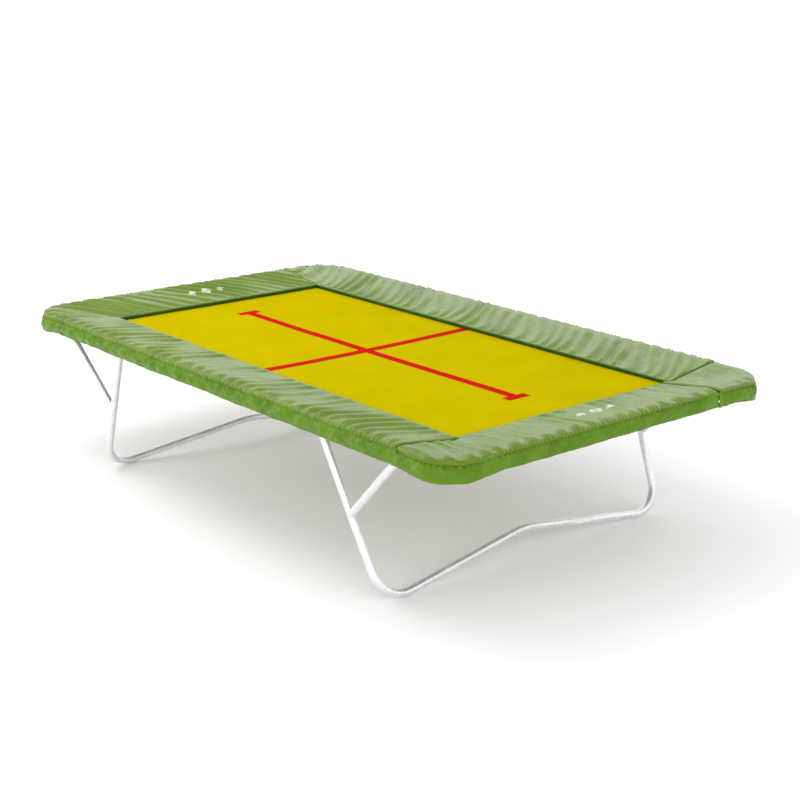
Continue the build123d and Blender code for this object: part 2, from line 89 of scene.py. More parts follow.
ARC_X, ARC_Y = OUT_X - CORNER_R, OUT_Y - CORNER_R


# --- Mesh helpers -----------------------------------------------------------------------------------
def mesh_object(name, vertices, faces, material, smooth=True):
    """An object from vertex and face lists, with one material."""
    mesh = bpy.data.meshes.new(name)
    mesh.from_pydata([tuple(v) for v in vertices], [], [tuple(f) for f in faces])
    mesh.validate()
    obj = bpy.data.objects.new(name, mesh)
    bpy.context.collection.objects.link(obj)
    mesh.materials.append(material)
    if smooth:
        mesh.polygons.foreach_set("use_smooth", [True] * len(mesh.polygons))
    mesh.update()
    return obj


def grid_faces(rows, columns, start=0, flip=False, wrap=False):
    """Quads of a grid of vertices that are listed row by row. With wrap, the last column joins the first."""
    faces = []
    for i in range(rows - 1):
        for j in range(columns if wrap else columns - 1):
            k = (j + 1) % columns
            a, b = start + i * columns + j, start + i * columns + k
            c, d = b + columns, a + columns
            faces.append((a, d, c, b) if flip else (a, b, c, d))
    return faces


def smoothstep(t):
    """0 below 0, 1 above 1, and an S curve between."""
    t = np.clip(t, 0, 1)
    return t * t * (3 - 2 * t)


def noise_field(x, y, scale, seed, detail=3):
    """Smooth noise at plan points, with features about scale metres long, in -1 to 1."""
    points = np.stack([np.ravel(x) / scale, np.ravel(y) / scale], axis=1)
    values = [noise.fractal(Vector((p[0], p[1], seed * 7.3)), 1.0, 2.0, detail) for p in points]
    return np.array(values).reshape(np.shape(x))


def creases(x, y, scale, seed):
    """Soft ridges in every direction, about scale metres apart, in 0 to 1."""
    return (1 - np.minimum(1, 2.0 * np.abs(noise_field(x, y, scale, seed, 1)))) ** 1.5


# --- Materials --------------------------------------------------------------------------------------
class Shader:
    """A material's node tree, with short calls to add and link nodes."""

    def __init__(self, name):
        self.material = bpy.data.materials.new(name)
        self.material.use_nodes = True
        self.tree = self.material.node_tree
        self.surface = self.tree.nodes["Principled BSDF"]
        self.place = self.add("ShaderNodeTexCoord").outputs["Object"]

    def add(self, kind, settings=None, **inputs):
        """Adds a node. Inputs are values or other nodes' outputs, by socket name with _ for a space."""
        made = self.tree.nodes.new(kind)
        for key, value in (settings or {}).items():
            setattr(made, key, value)
        for key, value in inputs.items():
            self.feed(made.inputs[key.replace("_", " ")], value)
        return made

    def feed(self, socket, value):
        """Links an output to a socket, or sets the socket's value."""
        if isinstance(value, bpy.types.NodeSocket):
            self.tree.links.new(value, socket)
        else:
            socket.default_value = value

    def set(self, **inputs):
        """Sets the surface's own sockets."""
        for key, value in inputs.items():
            self.feed(self.surface.inputs[key.replace("_", " ")], value)

    def noise(self, scale, detail, rough=0.5):
        """Noise between 0 and 1, with scale features to the metre."""
        settings = {"Scale": scale, "Detail": detail, "Roughness": rough}
        return self.add("ShaderNodeTexNoise", Vector=self.place, **settings).outputs["Fac"]

    def wave(self, axis, scale):
        """Bands along an axis."""
        settings = {"wave_type": "BANDS", "bands_direction": axis}
        return self.add("ShaderNodeTexWave", settings, Scale=scale, Vector=self.place).outputs["Fac"]

    def math(self, operation, a, b=0.0):
        """A Math node's result."""
        made = self.add("ShaderNodeMath", {"operation": operation})
        for socket, value in zip(made.inputs, (a, b)):
            self.feed(socket, value)
        return made.outputs[0]

    def ramp(self, value, low, high, start, end):
        """value remapped from start..end to low..high."""
        made = self.add("ShaderNodeMapRange", {"clamp": True})
        for socket, number in zip(made.inputs, (value, start, end, low, high)):
            self.feed(socket, number)
        return made.outputs["Result"]

    def blend(self, share, low, high):
        """A colour between low and high."""
        made = self.add("ShaderNodeMix", {"data_type": "RGBA"}, Factor=share)
        self.feed(made.inputs[6], low)
        self.feed(made.inputs[7], high)
        return made.outputs[2]

    def bump(self, height, distance, strength, under=None):
        """A bump from a height, over another bump if one is given."""
        made = self.add("ShaderNodeBump", Height=height, Distance=distance, Strength=strength)
        if under is not None:
            self.feed(made.inputs["Normal"], under)
        return made.outputs["Normal"]


def rgb(red, green, blue):
    """A linear colour with full alpha."""
    return (red, green, blue, 1.0)


def steel(name, light, dark, rough, spangle):
    """Zinc-coated steel: crystal spangle, clouds of dull oxide, and a fine grain."""
    s = Shader(name)
    cells = s.add("ShaderNodeTexVoronoi", Scale=spangle, Vector=s.place).outputs["Color"]
    tint = s.add("ShaderNodeSeparateColor", Color=cells).outputs[0]
    cloud = s.noise(9, 4)
    shade = s.math("ADD", s.math("MULTIPLY", tint, 0.45), s.math("MULTIPLY", cloud, 0.75))
    s.set(Base_Color=s.blend(s.ramp(shade, 0, 1, 0.3, 0.85), dark, light))
    s.set(Roughness=s.ramp(cloud, rough - 0.08, rough + 0.12, 0.3, 0.7))
    s.set(Metallic=0.85)
    s.set(Normal=s.bump(s.noise(260, 2), 0.0006, 0.35))
    return s.material


def vinyl(name, low, high, rough, gloss, print_at=()):
    """Coated fabric: soft mottling, a faint leather grain over shallow waves, and a clear gloss."""
    s = Shader(name)
    cloud = s.noise(5, 4)
    colour = s.blend(s.ramp(cloud, 0, 1, 0.35, 0.65), low, high)
    for x, y, reach in print_at:
        colour = printed_diamonds(s, colour, x, y, reach)
    s.set(Base_Color=colour)
    s.set(Roughness=s.ramp(s.noise(24, 3), rough - 0.05, rough + 0.07, 0.35, 0.65))
    s.set(Specular_IOR_Level=gloss, Coat_Weight=gloss / 6, Coat_Roughness=0.15)
    wrinkle = s.noise(9, 2, rough=0.4)
    grain = s.add("ShaderNodeTexVoronoi", {"feature": "SMOOTH_F1"}, Scale=620, Vector=s.place)
    s.set(Normal=s.bump(grain.outputs["Distance"], 0.0003, 0.10, s.bump(wrinkle, 0.002, 0.25)))
    return s.material


def printed_diamonds(s, colour, x, y, reach):
    """Three plain white diamonds in a row along Y, printed at a plan position and worn in places."""
    across = s.add("ShaderNodeSeparateXYZ", Vector=s.place)
    ink = 0.0
    for step in (-1, 0, 1):
        off_x = s.math("ABSOLUTE", s.math("SUBTRACT", across.outputs["X"], x))
        off_y = s.math("ABSOLUTE", s.math("SUBTRACT", across.outputs["Y"], y + step * reach))
        size = reach * (0.40 if step == 0 else 0.28)
        inside = s.math("LESS_THAN", s.math("ADD", off_x, off_y), size)
        ink = s.math("MAXIMUM", ink, inside)
    worn = s.ramp(s.noise(45, 4), 0.15, 0.75, 0.38, 0.58)
    return s.blend(s.math("MULTIPLY", ink, worn), colour, WHITE_INK)


def woven(name, low, high, thread, rough, depth):
    """Plain-weave cloth: threads over and under along X and Y, uneven dye, and no gloss."""
    s = Shader(name)
    warp, weft = s.wave("X", thread), s.wave("Y", thread)
    over = s.math("MULTIPLY", warp, weft)
    lines = s.math("MAXIMUM", warp, weft)
    cloud = s.noise(3.5, 5)
    shade = s.math("ADD", s.math("MULTIPLY", cloud, 0.7), s.math("MULTIPLY", over, 0.3))
    s.set(Base_Color=s.blend(s.ramp(shade, 0, 1, 0.3, 0.75), low, high))
    s.set(Roughness=s.ramp(cloud, rough - 0.06, rough + 0.06, 0.35, 0.65))
    s.set(Specular_IOR_Level=0.0)
    s.set(Normal=s.bump(s.math("ADD", lines, over), depth, 0.5, s.bump(s.noise(14, 3), 0.006, 0.3)))
    return s.material


def plain(name, low, high, rough, grain_scale):
    """A moulded or papery finish: slight mottling and a fine grain."""
    s = Shader(name)
    s.set(Base_Color=s.blend(s.ramp(s.noise(40, 4), 0, 1, 0.35, 0.65), low, high))
    s.set(Roughness=s.ramp(s.noise(90, 2), rough - 0.05, rough + 0.08, 0.3, 0.7))
    s.set(Normal=s.bump(s.noise(grain_scale, 2), 0.0005, 0.3))
    return s.material


WHITE_INK = rgb(0.72, 0.76, 0.70)
BED_COLOURS = rgb(0.465, 0.380, 0.0005), rgb(0.535, 0.438, 0.001)
BED_BACK_COLOURS = rgb(0.40, 0.38, 0.30), rgb(0.48, 0.46, 0.37)
TAPE_COLOURS = rgb(0.50, 0.011, 0.008), rgb(0.57, 0.015, 0.010)
WEBBING_COLOURS = rgb(0.010, 0.010, 0.011), rgb(0.030, 0.030, 0.032)
materials = {
    "galvanised_steel": steel("galvanised", rgb(0.86, 0.86, 0.87), rgb(0.70, 0.71, 0.72), 0.42, 90),
    "zinc_plate": steel("zinc_plate", rgb(0.72, 0.72, 0.70), rgb(0.46, 0.46, 0.46), 0.32, 300),
    "spring_steel": steel("spring_steel", rgb(0.60, 0.61, 0.62), rgb(0.38, 0.39, 0.40), 0.33, 400),
    "bed_weave": woven("bed_weave", *BED_COLOURS, 200, 0.7, 0.0008),
    "marking_tape": woven("marking_tape", *TAPE_COLOURS, 320, 0.65, 0.0006),
    "bed_back": woven("bed_back", *BED_BACK_COLOURS, 200, 0.8, 0.0008),
    "webbing": woven("webbing", *WEBBING_COLOURS, 420, 0.75, 0.0006),
    "foam": plain("foam", rgb(0.70, 0.69, 0.64), rgb(0.80, 0.79, 0.74), 0.9, 300),
    "label_white": plain("label_paper", rgb(0.78, 0.78, 0.77), rgb(0.88, 0.88, 0.87), 0.5, 700),
}
TOP_COLOURS = rgb(0.094, 0.163, 0.005), rgb(0.118, 0.198, 0.008)
SKIRT_COLOURS = rgb(0.078, 0.165, 0.002), rgb(0.108, 0.222, 0.004)
# The walls along a pad's inner edge and at its seam ends are dark green: a darker fabric on the inner edge,
# and painted shade on the seam ends, where the slits between pads lie in shade.
SIDE_AND_SEAM_SHADE_COLOURS = rgb(0.010, 0.055, 0.007), rgb(0.016, 0.075, 0.010)
PRINT_X, PRINT_REACH = (IN_X + OUT_X) / 2, 0.13
PRINTS = [(PRINT_X, 0.0, PRINT_REACH), (-PRINT_X, 0.0, PRINT_REACH)]
materials["vinyl"] = vinyl("vinyl_top", *TOP_COLOURS, 0.24, 0.27, PRINTS)
materials["skirt"] = vinyl("vinyl_skirt", *SKIRT_COLOURS, 0.28, 0.16)
# The side vinyl is a darker fabric on the inner edges and painted shade on the seam ends.
materials["side"] = vinyl("vinyl_side_and_seam_shade", *SIDE_AND_SEAM_SHADE_COLOURS, 0.45, 0.2)


def finish_frame():
    """Gives every CAD node its slot's material."""
    for entry in frame["record"]["subparts"]:
        material = materials.get(entry["material_slot"])
        node = frame["nodes"][entry["node"]]
        if material:
            node.data.materials.clear()
            node.data.materials.append(material)


finish_frame()


# --- Cloth ------------------------------------------------------------------------------------------
def settle(name, points, rest, pins, frames, bending, pressure=0.0, gravity=0.0):
    """Runs the cloth solver on a grid of points and returns the points it ends at.

    points and rest are rows by columns by 3; rest is the cut shape. pins are weights of the same size.
    """
    rows, columns = points.shape[:2]
    cloth = mesh_object(name, points.reshape(-1, 3), grid_faces(rows, columns), materials["foam"])
    cloth.shape_key_add(name="Basis")
    cut = cloth.shape_key_add(name="cut")
    cut.data.foreach_set("co", rest.astype(np.float32).ravel())
    group = cloth.vertex_groups.new(name="pins")
    for index, weight in enumerate(pins.ravel()):
        if weight > 0:
            group.add([index], float(weight), "REPLACE")
    solver = cloth.modifiers.new("Cloth", "CLOTH")
    s, stiffness = solver.settings, 15.0
    s.quality, s.mass = 6, 0.25
    s.tension_stiffness = s.compression_stiffness = stiffness
    s.shear_stiffness, s.bending_stiffness = stiffness / 3, bending
    s.tension_damping = s.compression_damping = s.shear_damping = 10
    s.bending_damping, s.air_damping = 1.0, 3.0
    s.vertex_group_mass, s.pin_stiffness = "pins", 1.0
    s.rest_shape_key = cut
    s.effector_weights.gravity = gravity
    s.use_pressure, s.uniform_pressure_force = pressure > 0, pressure
    solver.collision_settings.use_collision = False
    solver.point_cache.frame_start, solver.point_cache.frame_end = 1, frames
    scene = bpy.context.scene
    for step in range(1, frames + 1):
        scene.frame_set(step)
    settled = cloth.evaluated_get(bpy.context.evaluated_depsgraph_get())
    result = np.zeros(rows * columns * 3, np.float32)
    settled.data.vertices.foreach_get("co", result)
    scene.frame_set(1)
    bpy.data.objects.remove(cloth, do_unlink=True)
    return result.reshape(rows, columns, 3).astype(float)


# --- Pads -------------------------------------------------------------------------------------------
def inside_outline(x, y, half_x, half_y, corner):
    """Distance in from a rectangle with rounded corners, centred on the bed."""
    past_x, past_y = np.abs(x) - half_x + corner, np.abs(y) - half_y + corner
    beyond = np.hypot(np.maximum(past_x, 0), np.maximum(past_y, 0))
    return corner - beyond - np.minimum(np.maximum(past_x, past_y), 0)


def outline_distance(x, y):
    """Distance in from the padding's rounded outline."""
    return inside_outline(x, y, OUT_X, OUT_Y, CORNER_R)


def pad_surface(x, y):
    """Height of the padding's plain top: level over the rail, then sloping down to the bed."""
    share = inside_outline(x, y, HIP_X, HIP_Y, CORNER_R - PAD_FLAT) / PAD_RUN
    return RIM_Z - PAD_DROP * np.clip(share, 0, 1.02)


def corner_reach(along, straight_end):
    """How far a corner's arc draws the outer edge in, at a distance along the strip."""
    past = np.clip(np.abs(along) - straight_end, 0, CORNER_R)
    return CORNER_R - np.sqrt(CORNER_R**2 - past**2)


def even_stops(start, end, step):
    """Evenly spaced stops from start to end."""
    return np.linspace(start, end, max(2, round(abs(end - start) / step) + 1))


def arc_stops(centre, sign, step):
    """Stops along a strip that space a corner's arc evenly, out from its centre."""
    count = max(8, round(CORNER_R * math.pi / 2 / step))
    angles = np.linspace(0, math.pi / 2, count + 1)[1:]
    return centre + sign * CORNER_R * np.sin(angles)


STEP = 0.012
NEAR_OPENING = (0, 0.004, 0.012)
NEAR_RIM = (0.955, 0.965, 0.975, 0.984, 0.991, 0.996, 1)
across_stops = np.concatenate((NEAR_OPENING, np.linspace(0.03, 0.94, 27), NEAR_RIM))
# The gap between a pad and its neighbours, and the wider one at the right pad's last end.
CLEAR = 0.002
RIGHT_GAP = 0.007


def strip_plan(name):
    """The plan grid of a pad: rows along it, columns from its inner edge out. Returns x, y."""
    if name == "front":
        along = even_stops(-IN_X + CLEAR / 2, FRONT_SEAM, STEP)
        inner, outer = np.full_like(along, IN_Y), np.full_like(along, OUT_Y)
    elif name == "back":
        turn = arc_stops(-ARC_X, -1, STEP)[::-1]
        along = np.concatenate((turn, even_stops(-ARC_X, BACK_SEAM, STEP)))
        inner = np.full_like(along, IN_Y)
        outer = OUT_Y - np.where(along < 0, corner_reach(along, ARC_X), 0)
    elif name == "right":
        turn = arc_stops(-ARC_Y, -1, STEP)[::-1]
        along = np.concatenate((turn, even_stops(-ARC_Y, RIGHT_SEAM - RIGHT_GAP, STEP)))
        inner = IN_X + (FRONT_SEAM + CLEAR - IN_X) * (along < -IN_Y)
        outer = OUT_X - np.where(along < 0, corner_reach(along, ARC_Y), 0)
    elif name == "left":
        turn = arc_stops(-ARC_Y, -1, STEP)[::-1]
        along = np.concatenate((turn, even_stops(-ARC_Y, LEFT_SEAM, STEP)))
        inner = np.full_like(along, IN_X + CLEAR / 2)
        outer = OUT_X - np.where(along < 0, corner_reach(along, ARC_Y), 0)
    else:
        turn = arc_stops(ARC_Y, 1, STEP)
        along = np.concatenate((even_stops(RIGHT_SEAM + CLEAR, ARC_Y, STEP), turn))
        inner = IN_X + (BACK_SEAM + CLEAR - IN_X) * (along > IN_Y)
        outer = OUT_X - corner_reach(along, ARC_Y)
    a = np.repeat(along[:, None], len(across_stops), axis=1)
    b = inner[:, None] + (outer - inner)[:, None] * across_stops[None, :]
    plans = {"front": (a, -b), "back": (a, b), "right": (b, a), "corner": (b, a), "left": (-b, a)}
    return plans[name]


def edge_distance(x, y):
    """Distances from grid points to the grid's inner, outer, first and last edges, along its lines."""
    points = np.stack([x, y], axis=2)
    across = np.linalg.norm(np.diff(points, axis=1), axis=2)
    along = np.linalg.norm(np.diff(points, axis=0), axis=2)
    from_inner = np.concatenate((np.zeros((len(x), 1)), np.cumsum(across, axis=1)), axis=1)
    from_start = np.concatenate((np.zeros((1, x.shape[1])), np.cumsum(along, axis=0)), axis=0)
    return from_inner, from_inner[:, -1:] - from_inner, from_start, from_start[-1:] - from_start


CORNER_BLEND = 0.16  # corners blend in over this distance on both sides of where the arc starts
SEAM_DROP, CORNER_DROP = 0.017, 0.016


def cornering(x, y):
    """0 along the straight sides, rising to 1 in the middle of each rounded corner."""
    reach = CORNER_BLEND
    past_x, past_y = np.abs(x) - ARC_X, np.abs(y) - ARC_Y
    return smoothstep((past_x + reach) / (2 * reach)) * smoothstep((past_y + reach) / (2 * reach))


def seam_drop(x, y):
    """How far the rim's seam lies below the top of the padding: further in corners, where it is slack."""
    return SEAM_DROP + CORNER_DROP * cornering(x, y)


def rounded(distance, width, fall):
    """How far an edge rolled over a width falls away at a distance in from it."""
    inside = np.clip((width - distance) / width, 0, 1)
    return fall * (1 - np.sqrt(1 - inside**2))


def folds(from_start, share, seed, pitch, slant):
    """Irregular folds across a strip: ridges with rounded crests, some forked, some dying out."""
    lean = from_start + slant * share
    wander = noise_field(lean, share * 0.24, 0.34, seed, 1)
    fork = noise_field(lean, share * 0.30, 0.16, seed + 1, 1)
    phase = 2 * math.pi * (lean / pitch + 0.75 * wander + 0.28 * fork)
    strength = 0.80 + 0.9 * noise_field(lean, share * 0.28, 0.26, seed + 2, 1)
    crest = 0.70 * np.sin(phase) + 0.30 * (2 * np.abs(np.sin(phase / 2 + 0.7)) - 1)
    return crest * np.clip(strength, 0.30, 1.35)


def finer(grid):
    """A grid with a row added smoothly between each two."""
    around = np.concatenate((2 * grid[:1] - grid[1:2], grid, 2 * grid[-1:] - grid[-2:-1]))
    between = (9 * (around[1:-2] + around[2:-1]) - around[:-3] - around[3:]) / 16
    result = np.zeros((2 * len(grid) - 1,) + grid.shape[1:])
    result[::2], result[1::2] = grid, between
    return result


PAD_LOOKS = {
    "front": {"seed": 11, "gather": 1.012, "fold": 0.0098, "slant": 0.02, "sink": 0.000},
    "right": {"seed": 23, "gather": 1.012, "fold": 0.0080, "slant": -0.08, "sink": 0.010},
    "corner": {"seed": 31, "gather": 1.010, "fold": 0.0008, "slant": 0.05, "sink": 0.008},
    "back": {"seed": 47, "gather": 1.012, "fold": 0.0098, "slant": 0.12, "sink": 0.000},
    "left": {"seed": 59, "gather": 1.012, "fold": 0.0092, "slant": 0.24, "sink": 0.000},
}
FOLD_PITCH = 0.118
# Folds reach their full depth this far in from a pad's ends and rim. A share of them runs on to the rim.
FULL_FROM_ENDS, FULL_FROM_RIM = 0.030, 0.045
FOLD_AT_RIM = 0.35
# The right pad sags towards its seam with the corner pad.
SEAM_SAG, SAG_RUN = 0.009, 0.20
# Small puckers where the rim is stitched, which fade inward. Shallow folds leave less slack for them.
PUCKER_PITCH, PUCKER_DEPTH, PUCKER_RUN = 0.034, 0.0078, 0.026
SLACK_FOLD = 0.004
# How wide the rounding of the rim and of the other edges is, and how far the latter falls.
ROLL = 0.018
EDGE_WIDTH, EDGE_FALL = 0.010, 0.008
SETTLE_LIMIT = 0.004  # the most that the solver may move a pad's top
# Which ends of a pad are seams. The others are the rim, where the pad turns a corner.
OPEN_ENDS = {"front": "both", "right": "last", "corner": "first", "back": "last", "left": "last"}


def pad_base(name, x, y, from_inner, from_start, from_end):
    """The padding's smooth top, rolled over at its rim and rounded at its seams and inner edge."""
    choices = {"both": np.minimum(from_start, from_end), "last": from_end, "first": from_start}
    ends = choices[OPEN_ENDS[name]]
    base = pad_surface(x, y) - PAD_LOOKS[name]["sink"]
    if name == "right":
        base -= SEAM_SAG * smoothstep(1 - from_end / SAG_RUN)
    base -= rounded(outline_distance(x, y), ROLL, seam_drop(x, y))
    return base - rounded(from_inner, EDGE_WIDTH, EDGE_FALL) - rounded(ends, EDGE_WIDTH, EDGE_FALL)


def pad_top(name):
    """The wrinkled top of a pad: gathered cloth, settled by the solver over its foam."""
    looks = PAD_LOOKS[name]
    x, y = strip_plan(name)
    from_inner, from_outer, from_start, from_end = edge_distance(x, y)
    base = pad_base(name, x, y, from_inner, from_start, from_end)
    share = from_inner / (from_inner + from_outer)
    ripple = looks["fold"] * folds(from_start, share, looks["seed"], FOLD_PITCH, looks["slant"])
    ends = np.minimum(from_inner, np.minimum(from_start, from_end))
    edge = np.minimum(ends, from_outer)
    towards_rim = smoothstep(from_outer / FULL_FROM_RIM)
    calm = smoothstep(ends / FULL_FROM_ENDS) * (FOLD_AT_RIM + (1 - FOLD_AT_RIM) * towards_rim)
    top = np.stack([x, y, base + ripple * calm], axis=2)
    rest = top.copy()
    axis = 0 if name in ("front", "back") else 1
    middle = rest[:, :, axis].mean()
    rest[:, :, axis] = middle + (rest[:, :, axis] - middle) * looks["gather"]
    pins = (edge < 1e-6).astype(float)
    settled = settle(f"sim_{name}", top, rest, pins, frames=16, bending=4.0, pressure=0.5)
    top += np.clip(settled - top, -SETTLE_LIMIT, SETTLE_LIMIT)
    top = finer(top)
    x, y = top[:, :, 0], top[:, :, 1]
    from_start = finer(from_start[:, :, None])[:, :, 0]
    rim = np.exp(-((outline_distance(x, y) / PUCKER_RUN) ** 2))
    drift = 0.7 * noise_field(from_start, y * 0.2, 0.11, looks["seed"])
    stitch = np.abs(np.sin(math.pi * (from_start / PUCKER_PITCH + drift)))
    slack = min(1, looks["fold"] / SLACK_FOLD)
    top[:, :, 2] -= PUCKER_DEPTH * slack * rim * (1 - stitch)
    return top


def closed_slab(name, top, underside, bulge, outer_edge):
    """A closed mesh from a top grid and an underside grid. outer_edge tells which wall is the rim."""
    rows, columns = top.shape[:2]
    count = rows * columns
    vertices = list(top.reshape(-1, 3)) + list(underside.reshape(-1, 3))
    faces = grid_faces(rows, columns) + grid_faces(rows, columns, start=count, flip=True)
    finishes = [0] * len(faces)
    loop = list(range(columns))
    loop += [i * columns + columns - 1 for i in range(1, rows)]
    loop += [(rows - 1) * columns + j for j in range(columns - 2, -1, -1)]
    loop += [i * columns for i in range(rows - 2, 0, -1)]
    flat_top, flat_under = top.reshape(-1, 3), underside.reshape(-1, 3)
    edge = flat_under[loop]
    tangent = np.roll(edge, -1, axis=0) - np.roll(edge, 1, axis=0)
    outward = np.stack([tangent[:, 1], -tangent[:, 0], np.zeros(len(loop))], axis=1)
    outward /= np.maximum(np.linalg.norm(outward, axis=1)[:, None], 1e-9)
    if np.mean(np.sum(outward * (edge - edge.mean(axis=0)), axis=1)) < 0:
        outward = -outward
    rings = [loop]
    for share in (0.2, 0.5, 0.8):
        swell = bulge * math.sin(math.pi * share)
        ring = flat_top[loop] * (1 - share) + flat_under[loop] * share + outward * swell
        rings.append(list(range(len(vertices), len(vertices) + len(loop))))
        vertices += list(ring)
    rings.append([k + count for k in loop])
    on_rim = outer_edge[loop]
    for upper, lower in zip(rings, rings[1:]):
        for k in range(len(loop)):
            n = (k + 1) % len(loop)
            faces.append((upper[k], lower[k], lower[n], upper[n]))
            # Walls off the rim take the dark side colour: a darker fabric on the inner edge, painted shade
            # on the seam ends.
            finishes.append(0 if on_rim[k] and on_rim[n] else 1)
    obj = mesh_object(name, vertices, faces, materials["vinyl"])
    obj.data.materials.append(materials["side"])
    obj.data.polygons.foreach_set("material_index", finishes)
    tidy_normals(obj)
    return obj


def tidy_normals(obj):
    """Turns every face of a closed mesh outward."""
    fix = bmesh.new()
    fix.from_mesh(obj.data)
    bmesh.ops.recalc_face_normals(fix, faces=fix.faces)
    fix.to_mesh(obj.data)
    fix.free()


def make_pad(name):
    """One padded cover, as a closed slab in place of the CAD cover and its foam."""
    top = pad_top(name)
    x, y = strip_plan(name)
    raised, bulge, at_rim = 0.001, 0.002, 0.001
    plan = finer(np.stack([x, y, pad_surface(x, y) - PAD_THICKNESS + raised], axis=2))
    rim = outline_distance(plan[:, :, 0], plan[:, :, 1]).ravel() < at_rim
    pad = closed_slab(f"cover_{name}", top, plan, bulge, rim)
    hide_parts(f"pad_cover_{name}", f"pad_foam_{name}")
    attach(pad, "frame")


for name in PADS:
    make_pad(name)


# --- Skirts -----------------------------------------------------------------------------------------
SKIRT_STEP = 0.008
SKIRT_ROWS = 17
SKIRT_WIDTH = 0.112
SKIRT_GATHER = 1.06
LAP = 0.020
# How far a skirt starts above the seam, hangs lower round a corner, and has an uneven lower edge.
SKIRT_ABOVE_SEAM, CORNER_HANG, HEM_WANDER = 0.002, 0.026, 0.006
# The doubled hem: where it starts, how fast it thickens and where it ends, in shares of the drop.
HEM_SHARE, HEM_FADE, HEM_END, HEM_FOLD = 0.86, 0.04, 1.02, 0.0008
WALL, HEM_WALL = 0.0016, 0.0012
# How far a skirt is tucked in at its top and stands out below, by cause.
TUCK = 0.003
BILLOW, CORNER_BILLOW = 0.010, 0.008
WAVE_PITCH, WAVE_DEPTH = 0.150, 0.0045
PLEAT_PITCH, PLEAT_DEPTH = 0.046, 0.0130
GATHER_DEPTH = 0.0090
SWAY = 0.009
FAN_RAYS, FAN_DEPTH, FAN_RUN = 9, 0.0050, 0.07
# Depth, size, slant and how much it follows the drop, of each family of crumples.
CRUMPLES = ((0.0170, 0.120, 0.9, 0.5), (0.0100, 0.105, -0.9, 0.6), (0.0030, 0.060, 0.0, 1.0))
CREST_MEAN = 0.30
SEAM_FREE = 0.05  # a skirt is held still at its ends, and moves freely from this far in
START_LIFT, END_LIFT = 0.009, 0.005  # how far the laps at its ends stand out, so that they don't meet
SKIRT_LIMIT = 0.008  # the most that the solver may move a skirt


def outer_line(name):
    """The run along a cover's rim from seam to seam, its evenly spaced plan points, and which way is out."""
    points = np.stack(strip_plan(name), axis=2)
    line = points[:, -1]
    if name in ("right", "left", "back"):
        line = np.concatenate((points[0, :-1], line))
    elif name == "corner":
        line = np.concatenate((line, points[-1, -2::-1]))
    for end, inside in ((0, 1), (-1, -2)):
        away = line[end] - line[inside]
        line[end] += LAP * away / np.linalg.norm(away)
    run = np.concatenate(([0], np.cumsum(np.linalg.norm(np.diff(line, axis=0), axis=1))))
    stops = np.linspace(0, run[-1], round(run[-1] / SKIRT_STEP) + 1)
    line = np.stack([np.interp(stops, run, line[:, 0]), np.interp(stops, run, line[:, 1])], axis=1)
    tangent = np.gradient(line, axis=0)
    outward = np.stack([tangent[:, 1], -tangent[:, 0]], axis=1)
    outward /= np.linalg.norm(outward, axis=1)[:, None]
    if np.mean(np.sum(outward * line, axis=1)) < 0:
        outward = -outward
    return stops, line, outward


def skirt_relief(s, t, corner, from_seam, pad_seed):
    """How far a skirt stands out: billowed, waved, gathered at its top, pleated, and fanned at its seams."""
    seed = pad_seed + 5
    wave = folds(s, t * 0.2, seed, WAVE_PITCH, 0.05)
    drift = 0.7 * noise_field(s, t * 0.1, 0.11, pad_seed)
    pucker = np.sin(2 * math.pi * (s / PUCKER_PITCH + drift))
    pleat = np.abs(np.sin(math.pi * (s / PLEAT_PITCH + 1.3 * drift + 0.25 * t)))
    bunched = smoothstep(0.2 + 2.4 * noise_field(s, t * 0.02, 0.42, seed + 9)) + 0.5 * corner
    billow = smoothstep(t * 2.2)
    out = -TUCK + (BILLOW + CORNER_BILLOW * corner) * billow + WAVE_DEPTH * wave * billow * (1 - 0.7 * t)
    sway = noise_field(s, t * 0.05, 0.5, seed + 4)
    out += GATHER_DEPTH * pucker * np.exp(-((t * 4.2) ** 2)) + SWAY * sway * t
    out -= PLEAT_DEPTH * bunched * (1 - pleat) ** 2 * smoothstep(t * 6) * (1 - smoothstep(t * 1.25))
    fan = np.cos(FAN_RAYS * np.arctan2(t * SKIRT_WIDTH, from_seam + 0.01))
    out += FAN_DEPTH * fan * np.exp(-from_seam / FAN_RUN) * smoothstep(t * 4) * (1 - 0.6 * t)
    return out


def skirt_crumple(s, t, seed):
    """Slanting crumples in the middle of a skirt, fading at its top and its hem."""
    fallen = t * SKIRT_WIDTH
    crumple = 0
    for k, (depth, size, slant, follow) in enumerate(CRUMPLES):
        crests = creases(s + slant * fallen, follow * fallen, size, seed + 1 + k)
        crumple = crumple + depth * (crests - CREST_MEAN)
    return crumple * (smoothstep(t * 3) * (1 - 0.8 * smoothstep((t - 0.5) / 0.5)))


